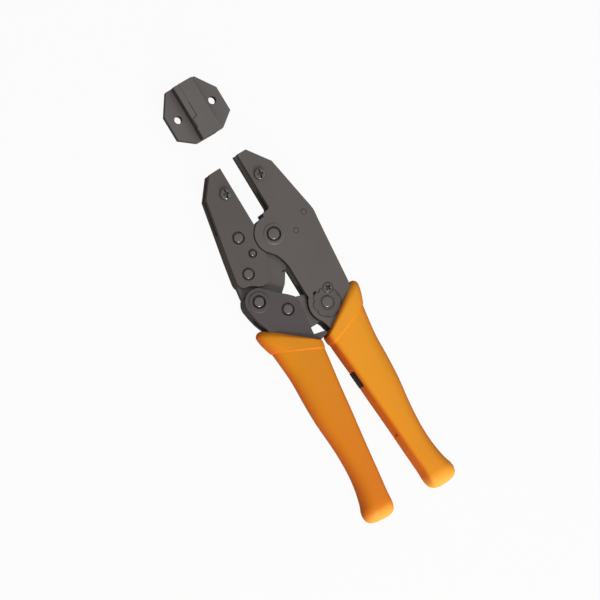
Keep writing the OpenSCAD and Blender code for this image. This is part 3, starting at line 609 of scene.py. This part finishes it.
# %% Plates
for node, body, material, reshape in (
        ("fixed_front_plate", "fixed_frame", plate_steel, widen_index_hole),
        ("fixed_back_plate", "fixed_frame", plate_steel, None),
        ("moving_front_plate", "moving_jaw", jaw_steel, None),
        ("moving_back_plate", "moving_jaw", jaw_steel, None),
        ("handle_front_plate", "moving_handle", handle_steel, raise_boss),
        ("handle_back_plate", "moving_handle", handle_steel, None)):
    tumbled(node, body, "plate_steel", material, PRESSED, reshape)

# %% Lever, link, pawl, blocks and dies
tumbled("moving_lever", "moving_jaw", "lever_steel", lever_steel, reshape=close_slot)
tumbled("toggle_link", "toggle_link", "lever_steel", link_steel)
tumbled("ratchet_pawl", "pawl", "plain_steel", bright_steel)
tumbled("fixed_jaw_spacer", "fixed_frame", "spacer_steel", spacer_steel)
tumbled("tang_spacer", "fixed_frame", "spacer_steel", spacer_steel)
tumbled("handle_spacer", "moving_handle", "spacer_steel", spacer_steel)
tumbled("die_nest", "die_nest", "die_steel", die_steel, GROUND)
tumbled("die_punch", "die_punch", "die_steel", die_steel, GROUND, press_together)

# %% [markdown]
# ## Turned pins
# The pivots are pins with a flat button head in front and a groove for a snap ring
# at the back. They are turned parts: one outline, spun round its axis. Spin could
# make them from a drawn line. Here they grow from a filled circle, extruded and
# resized once for every point of the outline, so that the outline stays a plain list
# of radius and height, and the ends are closed from the start.

# %% Turn a part from its outline
SIDES = 48
HAIRLINE = 0.05


def turned(name, centre, outline):
    start()
    radius, height = outline[0]
    bpy.ops.mesh.primitive_circle_add(vertices=SIDES, radius=radius * MM, fill_type="NGON",
                                      location=centre + Vector((0, 0, height * MM)))
    piece = bpy.context.object
    piece.name = piece.data.name = name
    edit(piece)
    for wide, high in outline[1:]:
        bpy.ops.mesh.extrude_region_move(TRANSFORM_OT_translate={"value": (0, 0, (high - height) * MM)})
        scale = wide / radius
        bpy.ops.transform.resize(value=(scale, scale, 1),
                                 center_override=centre + Vector((0, 0, high * MM)))
        radius, height = wide, high
    bpy.ops.mesh.select_all(action="SELECT")
    bpy.ops.mesh.normals_make_consistent(inside=False)
    leave_edit()
    return piece


def button(radius, low, rise, shoulder):
    outline = []
    for degrees in range(0, 91, 15):
        angle = math.radians(degrees)
        outline.append((radius - shoulder * (1 - math.cos(angle)), low + rise * math.sin(angle)))
    flat = radius - shoulder
    return outline + [(flat * 0.5, low + rise + 0.02), (HAIRLINE, low + rise + 0.03)]


# %% Pivot pins with a button head and a grooved tail
SEAT = 1.2
HEAD_FOOT, HEAD_RISE, HEAD_SHOULDER = FACE - 0.25, 0.95, 1.0
TAIL_END, TAIL_CHAMFER = -FACE - 1.4, 0.4
GROOVE_LOW, GROOVE_HIGH, GROOVE_DEPTH, GROOVE_SLOPE = -FACE - 0.8, -FACE, 0.25, 0.02
PIN_SHARP = 28


def pivot_pin(node, body, centre, shaft, head, seat=SEAT):
    core = shaft - GROOVE_DEPTH
    tail = [(shaft - TAIL_CHAMFER, TAIL_END), (shaft, TAIL_END + TAIL_CHAMFER)]
    groove = [(shaft, GROOVE_LOW), (core, GROOVE_LOW + GROOVE_SLOPE),
              (core, GROOVE_HIGH - GROOVE_SLOPE), (shaft, GROOVE_HIGH)]
    neck = [(shaft, FACE - seat), (head, FACE - seat)]
    outline = tail + groove + neck + button(head, HEAD_FOOT, HEAD_RISE, HEAD_SHOULDER)
    piece = settle(turned(node + "_turned", centre, outline), pin_steel, PIN_SHARP)
    belong(piece, body, "pin_steel", node)


def same_place(node):
    low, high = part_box(node)
    return Vector(((low.x + high.x) / 2, (low.y + high.y) / 2, main_pivot.z))


pivot_pin("main_pivot_pin", "fixed_frame", main_pivot, shaft=3.0, head=3.4)
pivot_pin("handle_pivot_pin", "moving_handle", pivot["handle"], shaft=2.6, head=3.0)
pivot_pin("toggle_pin", "moving_handle", same_place("toggle_pin"), shaft=2.5, head=2.9)
pivot_pin("adjuster_pin", "fixed_frame", same_place("adjuster_pin"), shaft=2.9, head=3.3, seat=0.6)

# %% [markdown]
# ## Rivets
# The jaw rivets and the small stop pin are closed with the same button head on both
# faces. The back could be a mirrored copy, joined on, but then a seam runs round the
# shaft. Their outline is the front half and its mirror image in one list instead.
# The second jaw rivet is the same part, so it is a copy of the first, moved.

# %% Rivets with two heads
JAW_RIVETS = [spot(-19.2, 8.2), spot(-25.2, -12.2)]


def two_headed(name, centre, shaft, head):
    shoulder = min(HEAD_SHOULDER, head * 0.4)
    front = [(head, FACE - SEAT)] + button(head, HEAD_FOOT, HEAD_RISE, shoulder)
    back = [(r, -z) for r, z in reversed(front)]
    return turned(name, centre, back + [(shaft, -FACE + SEAT), (shaft, FACE - SEAT)] + front)


def repeat(piece, places):
    pieces = [piece]
    for place in places[1:]:
        take(piece)
        bpy.ops.object.duplicate()
        bpy.ops.transform.translate(value=place - places[0])
        pieces.append(bpy.context.object)
    return pieces


def join(name, pieces):
    take(pieces[0])
    for piece in pieces[1:]:
        piece.select_set(True)
    bpy.ops.object.join()
    piece = bpy.context.object
    piece.name = piece.data.name = name
    return piece


rivet = two_headed("rivet", JAW_RIVETS[0], shaft=2.3, head=2.8)
rivets = join("jaw_rivets_turned", repeat(rivet, JAW_RIVETS))
belong(settle(rivets, pin_steel, PIN_SHARP), "moving_jaw", "pin_steel", "jaw_rivets")
small = two_headed("stop_pin_turned", same_place("stop_pin"), shaft=1.3, head=1.7)
belong(settle(small, pin_steel, PIN_SHARP), "moving_jaw", "pin_steel", "stop_pin")

# %% [markdown]
# ## Flush pins
# Two pins are riveted and ground level with the plate, so only a fine ring shows
# round each. The ring could be a dark line in the material, but its place would have
# to be kept in two lists. A chamfer at each end of the pin makes it as the
# countersink does on the real plate. The spring post and the pawl's pin are the same
# plain pins, in bright steel.

# %% Flush pins, spring post and pawl pin
FLUSH_PINS = [spot(22.3, 2.1), spot(12.6, -4.7)]
CHAMFER = 0.3
POST_TOP = 3.7


def flush_pin(name, centre, radius, top=FACE):
    return turned(name, centre, [(radius - CHAMFER, -FACE), (radius, -FACE + CHAMFER),
                                 (radius, top - CHAMFER), (radius - CHAMFER, top),
                                 (radius * 0.3, top), (HAIRLINE, top)])


def pins_of(node, body, slot, material, radius, places):
    pin = flush_pin("pin", places[0], radius)
    pins = join(node + "_turned", repeat(pin, places))
    belong(settle(pins, material, PIN_SHARP), body, slot, node)


pins_of("flush_pins", "fixed_frame", "pin_steel", plate_steel, radius=1.7, places=FLUSH_PINS)
post = flush_pin("spring_post_turned", same_place("spring_post"), radius=1.3, top=POST_TOP)
belong(settle(post, bright_steel, PIN_SHARP), "fixed_frame", "plain_steel", "spring_post")
pins_of("pawl_pin", "moving_handle", "plain_steel", bright_steel, radius=1.5,
        places=[same_place("pawl_pin")])

# %% [markdown]
# ## Screws
# A pan-head screw in each jaw holds a die half, and a small flat one locks the
# adjuster. The heads are turned like the pins. The cross recess could be inset and
# pushed down face by face, but on a real screw a cross-shaped punch forms it, so
# here two stretched cubes cut it, tapered towards the bottom as a driver is. On the
# die screws one arm of the cross is longer than the other.

# %% Cross recess
RECESS_WIDTH, RECESS_DEPTH, ABOVE_HEAD = 1.15, 1.5, 0.4
TAPER = (0.75, 0.7, 1)


def cross_cutter(centre, top, arms, heading):
    start()
    cutters = []
    middle = centre + Vector((0, 0, (top - RECESS_DEPTH / 2 + ABOVE_HEAD / 2) * MM))
    for length, angle in zip(arms, (heading, heading + 90)):
        size = (length * MM, RECESS_WIDTH * MM, (RECESS_DEPTH + ABOVE_HEAD) * MM)
        bpy.ops.mesh.primitive_cube_add(size=1, location=middle, scale=size)
        arm = bpy.context.object
        edit(arm)
        pick(arm, lambda v: v.co.z < 0)
        bpy.ops.transform.resize(value=TAPER, center_override=middle)
        bpy.ops.mesh.select_all(action="SELECT")
        turn(math.radians(angle), middle)
        leave_edit()
        cutters.append(arm)
    return cutters


def carve(piece, cutters):
    for cutter in cutters:
        take(piece)
        cut = piece.modifiers.new("cut", "BOOLEAN")
        cut.operation = "DIFFERENCE"
        cut.object = cutter
        cut.solver = "EXACT"
        bpy.ops.object.modifier_apply(modifier=cut.name)
        bpy.data.objects.remove(cutter)


def screw(node, body, outline, top, arms, heading):
    centre = same_place(node)
    piece = turned(node + "_turned", centre, outline)
    fix_place(piece)
    carve(piece, cross_cutter(centre, top, arms, heading))
    belong(settle(piece, screw_steel, PIN_SHARP), body, "screw_steel", node)


# %% Die screws
PAN_TALL, PAN_RADIUS, PAN_SHAFT = 1.7, 3.3, 2.0
PAN_SHOULDER = 1.1
PAN_ARMS = (6.0, 3.6)
wall_top = FACE + PAN_TALL * 0.45
pan_outline = [(PAN_SHAFT - 0.4, -FACE + 0.3), (PAN_SHAFT, -FACE + 0.8), (PAN_SHAFT, FACE),
               (PAN_RADIUS, FACE), (PAN_RADIUS, wall_top)]
pan_outline += button(PAN_RADIUS, wall_top, PAN_TALL * 0.5, PAN_SHOULDER)
screw("fixed_die_screw", "fixed_frame", pan_outline, FACE + PAN_TALL, PAN_ARMS, heading=80)
screw("moving_die_screw", "moving_jaw", pan_outline, FACE + PAN_TALL, PAN_ARMS, heading=82)

# %% Lock screw
LOCK_TOP = FACE + 0.5
LOCK_ARMS = (3.8, 3.8)
lock_outline = [(1.1, 2.55), (1.5, 2.9), (1.5, FACE - 1.3), (2.9, FACE - 1.3), (2.9, FACE + 0.1),
                (2.6, FACE + 0.4), (1.6, LOCK_TOP), (0.1, LOCK_TOP)]
screw("lock_screw", "fixed_frame", lock_outline, LOCK_TOP, LOCK_ARMS, heading=20)

# %% [markdown]
# ## Adjuster wheel
# The notched wheel that sets the crimping force lies sunk in the front plate. Its
# notches could be cut into a new disc, but the copy of its solid has them already.
# A thin turned flange closes the gap round the wheel, so that a fine line shows
# there from above and not a ditch.

# %% Wheel and flange
FLANGE_RADIUS, FLANGE_LOW, FLANGE_TOP = 8.6, FACE - 1.1, FACE - 0.45
wheel = tumbled("adjuster_wheel", "fixed_frame", "lever_steel", jaw_steel)
flange = turned("flange", same_place("adjuster_wheel"), [
    (FLANGE_RADIUS, FLANGE_LOW), (FLANGE_RADIUS, FLANGE_TOP), (HAIRLINE, FLANGE_TOP)])
join("adjuster_wheel_edged", [wheel, settle(flange, jaw_steel)])
print("wheel with its flange:", len(wheel.data.polygons), "faces")

# %% [markdown]
# ## Hooded grips
# Each grip is one moulding: a hood with a slanted, rounded mouth, a fine step below
# it, a waisted body and a flared end. A cube with many cuts could be pushed into
# that form, but its outline is hard to hit. So a ring is pulled along the handle from
# station to station. A station gives the inner point, the outer point and the
# thickness, and further ones are eased in between, so that the flanks stay smooth.

# %% Stations of a grip: inner point, outer point, thickness
THICKEST = 17.0
HOOD = [(-3.4, -66.3, 29.3, -48.6, 17.0), (-3.4, -67.6, 28.7, -52.2, 17.0),
        (-3.25, -69.0, 27.2, -56.6, 17.0), (-2.95, -70.4, 25.8, -59.9, 17.0)]
BODY = [(-2.6, -71.1, 25.1, -60.6, 15.8), (-2.35, -75.5, 23.6, -70, 15.9),
        (-1.8, -82, 22.3, -80, 16.0), (-0.9, -93, 21.8, -93, 16.0),
        (-0.1, -107, 20.8, -107, 16.0), (1.0, -122, 18.7, -122, 16.0),
        (1.9, -136, 17.5, -136, 16.0), (2.6, -148, 17.8, -148, 16.3),
        (3.3, -158, 19.4, -158, 16.9), (3.3, -163, 21.0, -162.8, 16.9)]
TIP = [(3.4, -165.4, 21.4, -165.2, 16.5), (3.6, -167.4, 21.3, -167.2, 15.2),
       (4.1, -169.2, 20.7, -169.0, 13.1), (5.0, -170.5, 19.6, -170.4, 10.7),
       (6.4, -171.4, 17.8, -171.3, 8.0), (8.2, -171.9, 15.4, -171.85, 5.0)]


def between(p, q, r, s, t):
    return 0.5 * (2 * q + (r - p) * t + (2 * p - 5 * q + 4 * r - s) * t * t
                  + (3 * q - p - 3 * r + s) * t ** 3)


def eased(rows, steps):
    result = []
    for i in range(len(rows) - 1):
        four = rows[max(i - 1, 0)], rows[i], rows[i + 1], rows[min(i + 2, len(rows) - 1)]
        for k in range(steps):
            result.append(tuple(between(*values, k / steps) for values in zip(*four)))
    return [row[:4] + (min(row[4], THICKEST),) for row in result + [rows[-1]]]


stations = TIP[::-1] + eased(BODY, 3)[::-1] + eased(HOOD, 2)[::-1]
print("stations of a grip:", len(stations))

# %% [markdown]
# The ring has tight corners towards the other handle and broad ones outwards. It
# starts as a plane stood on edge at the end of the grip, which it closes. The end is
# too small for such corners, so they are bevelled at the size of the flared station,
# and only then is the ring shrunk. From there each ring is extruded in place, then
# moved, turned and stretched onto its own station.

# %% Rings that follow one another
class Ring:
    def __init__(self, row):
        x0, y0, x1, y1, thick = row
        self.centre = spot((x0 + x1) / 2, (y0 + y1) / 2)
        self.half = math.hypot(x1 - x0, y1 - y0) / 2
        self.angle = math.atan2(y1 - y0, x1 - x0)
        self.high = thick / 2


def follow(was, now):
    bpy.ops.transform.translate(value=now.centre - was.centre)
    turn(-was.angle, now.centre)
    bpy.ops.transform.resize(value=(now.half / was.half, 1, now.high / was.high),
                             center_override=now.centre)
    turn(now.angle, now.centre)


# %% The first ring
TIGHT, BROAD = 3.4, 7.7


def first_ring(name, ring, full):
    bpy.ops.mesh.primitive_plane_add(size=2, location=ring.centre)
    grip = bpy.context.object
    grip.name = grip.data.name = name
    edit(grip)
    turn(math.radians(90), ring.centre, "X")
    bpy.ops.transform.resize(value=(full.half * MM, 1, full.high * MM), center_override=ring.centre)
    reach = 0.9 * full.half * MM
    for side, radius, steps in ((-1, TIGHT, 4), (1, BROAD, 8)):
        pick(grip, lambda v: len(v.link_edges) == 2 and v.co.x * side > reach)
        bpy.ops.mesh.bevel(offset=radius * MM, offset_type="OFFSET", segments=steps, affect="VERTICES")
    print("corner points:", len(bmesh.from_edit_mesh(grip.data).verts))
    bpy.ops.mesh.select_all(action="SELECT")
    bpy.ops.transform.resize(value=(ring.half / full.half, 1, ring.high / full.high),
                             center_override=ring.centre)
    turn(ring.angle, ring.centre)
    return grip


# %% Pull a grip out of its first ring
def hooded_grip(name, mouth):
    start()
    ring = Ring(stations[0])
    grip = first_ring(name, ring, Ring(BODY[-1]))
    for row in stations[1:] + mouth:
        bpy.ops.mesh.extrude_region_move(TRANSFORM_OT_translate={"value": (0, 0, 0)})
        following = Ring(row)
        follow(ring, following)
        ring = following
    bpy.ops.mesh.select_all(action="SELECT")
    bpy.ops.mesh.normals_make_consistent(inside=False)
    leave_edit()
    fix_place(grip)
    return grip


# %% [markdown]
# The hood's edge turns into the mouth with a quarter round. A bevel could make it,
# but it would be as wide on the flat faces as on the flanks, and the real one is
# widest on the outer flank. So six more rings follow a quarter circle to the rim,
# one more meets the steel, and the last goes down inside, out of sight.

# %% Rings of the mouth
MOUTH_STEPS = 6
MOUTH_DEPTH = 12


def mouth_rows(rim, steel):
    rows = []
    for k in range(1, MOUTH_STEPS + 1):
        angle = math.radians(90 * k / MOUTH_STEPS)
        inwards, forwards = 1 - math.cos(angle), math.sin(angle)
        shares = (inwards, forwards, inwards, forwards, inwards)
        rows.append(tuple(a + (b - a) * share for a, b, share in zip(HOOD[0], rim, shares)))
    x0, y0, x1, y1, thick = steel
    return rows + [steel, (x0, y0 - MOUTH_DEPTH, x1, y1 - MOUTH_DEPTH, thick)]


fixed_mouth = mouth_rows(rim=(-3.0, -64.9, 26.2, -45.6, 13.6),
                         steel=(-0.2, -62.9, 24.8, -46.4, 12.1))
fixed_shell = hooded_grip("fixed_grip_moulded", fixed_mouth)
print("points of the fixed grip:", len(fixed_shell.data.vertices))

# %% [markdown]
# The inner side of each grip has a long shallow groove, and at its upper end a
# window in which the steel inside shows. They could be inset into the side, but the
# rings there are too coarse, so two blocks cut them out. The groove runs out towards
# the back of the tool, because a deep ledge there catches the light as a bright
# line. The lug is a block with rounded edges that fills the window almost flush. It
# stands for the steel seen through the window, and its near-black finish is painted
# shade for the dark inside of the window.

# %% Groove, window and lug
GRIP_TURN = math.radians(4.2)
GRIP_SHARP = 32
GROOVE, GROOVE_SLANT = (-4, 1.3, -135, -90.4, -4.3, 3.6), 1.2
WINDOW = (-5, 4, -100.6, -90.4, -9, 4.8)
LUG, LUG_EDGE = (-0.8, 3, -100.56, -90.44, -5.8, 4.7), 0.2


def inner_block(x0, x1, y0, y1, z0, z1, slant=0.0):
    start()
    low, high = spot(x0, y0, z0), spot(x1, y1, z1)
    bpy.ops.mesh.primitive_cube_add(size=1, location=(low + high) / 2, scale=high - low)
    block = bpy.context.object
    edit(block)
    pick(block, lambda v: v.co.x > 0 and v.co.z < 0)
    bpy.ops.transform.translate(value=(-slant * MM, 0, 0))
    bpy.ops.mesh.select_all(action="SELECT")
    turn(GRIP_TURN, block.location)
    leave_edit()
    return block


def inner_slots(grip):
    carve(grip, [inner_block(*GROOVE, GROOVE_SLANT), inner_block(*WINDOW)])


def lug(name):
    block = inner_block(*LUG)
    block.name = block.data.name = name
    fix_place(block)
    edit(block)
    bpy.ops.mesh.bevel(offset=LUG_EDGE * MM, segments=2, affect="EDGES")
    leave_edit()
    return block


inner_slots(fixed_shell)
belong(settle(fixed_shell, fixed_orange, GRIP_SHARP), "fixed_frame", "grip_orange", "fixed_grip")
belong(settle(lug("fixed_lug"), spacer_steel), "fixed_frame", "spacer_steel")

# %% [markdown]
# The moving grip is the same moulding turned over. It could be modelled on its own,
# but mirrored, swung by 4.2 degrees and set beside the first it is sure to match.
# Only its mouth lies lower, because the broad handle plates need the room. Mirroring
# turns a mesh inside out, so its normals are set again.

# %% Moving grip
GRIP_SHIFT = Vector((-6.35, 0.3, 0)) * MM


def turn_over(piece):
    fix_place(piece)
    edit(piece)
    bpy.ops.transform.resize(value=(-1, 1, 1), center_override=main_pivot)
    turn(-GRIP_TURN, main_pivot)
    bpy.ops.transform.translate(value=GRIP_SHIFT)
    bpy.ops.mesh.normals_make_consistent(inside=False)
    leave_edit()
    return piece


moving_mouth = mouth_rows(rim=(-3.0, -65.9, 26.1, -45.8, 13.6),
                          steel=(-0.2, -63.9, 24.8, -46.8, 12.1))
moving_shell = hooded_grip("moving_grip_moulded", moving_mouth)
inner_slots(moving_shell)
settle(turn_over(moving_shell), moving_orange, GRIP_SHARP)
belong(moving_shell, "moving_handle", "grip_orange", "moving_grip")
belong(settle(turn_over(lug("moving_lug")), spacer_steel), "moving_handle", "spacer_steel")

# %% [markdown]
# ## Finishes for the solids that stay
# The springs, snap rings and contact blades are fine or round already, and the tangs'
# rivets lie under the grips. They could be modelled again too, but nobody would see
# the difference, so their exact solids stay and only take a finish.

# %% Carried-over solids
CARRIED = {"tang_rivets": bright_steel, "handle_rivets": bright_steel,
           "frame_rings": spring_wire, "handle_rings": spring_wire,
           "return_spring": oiled_wire, "pawl_spring": oiled_wire,
           "contact_blades": bright_steel}
for node, material in CARRIED.items():
    solid = frame["nodes"][node]
    solid.data.materials.clear()
    solid.data.materials.append(material)
print("solids that stay:", len(CARRIED))
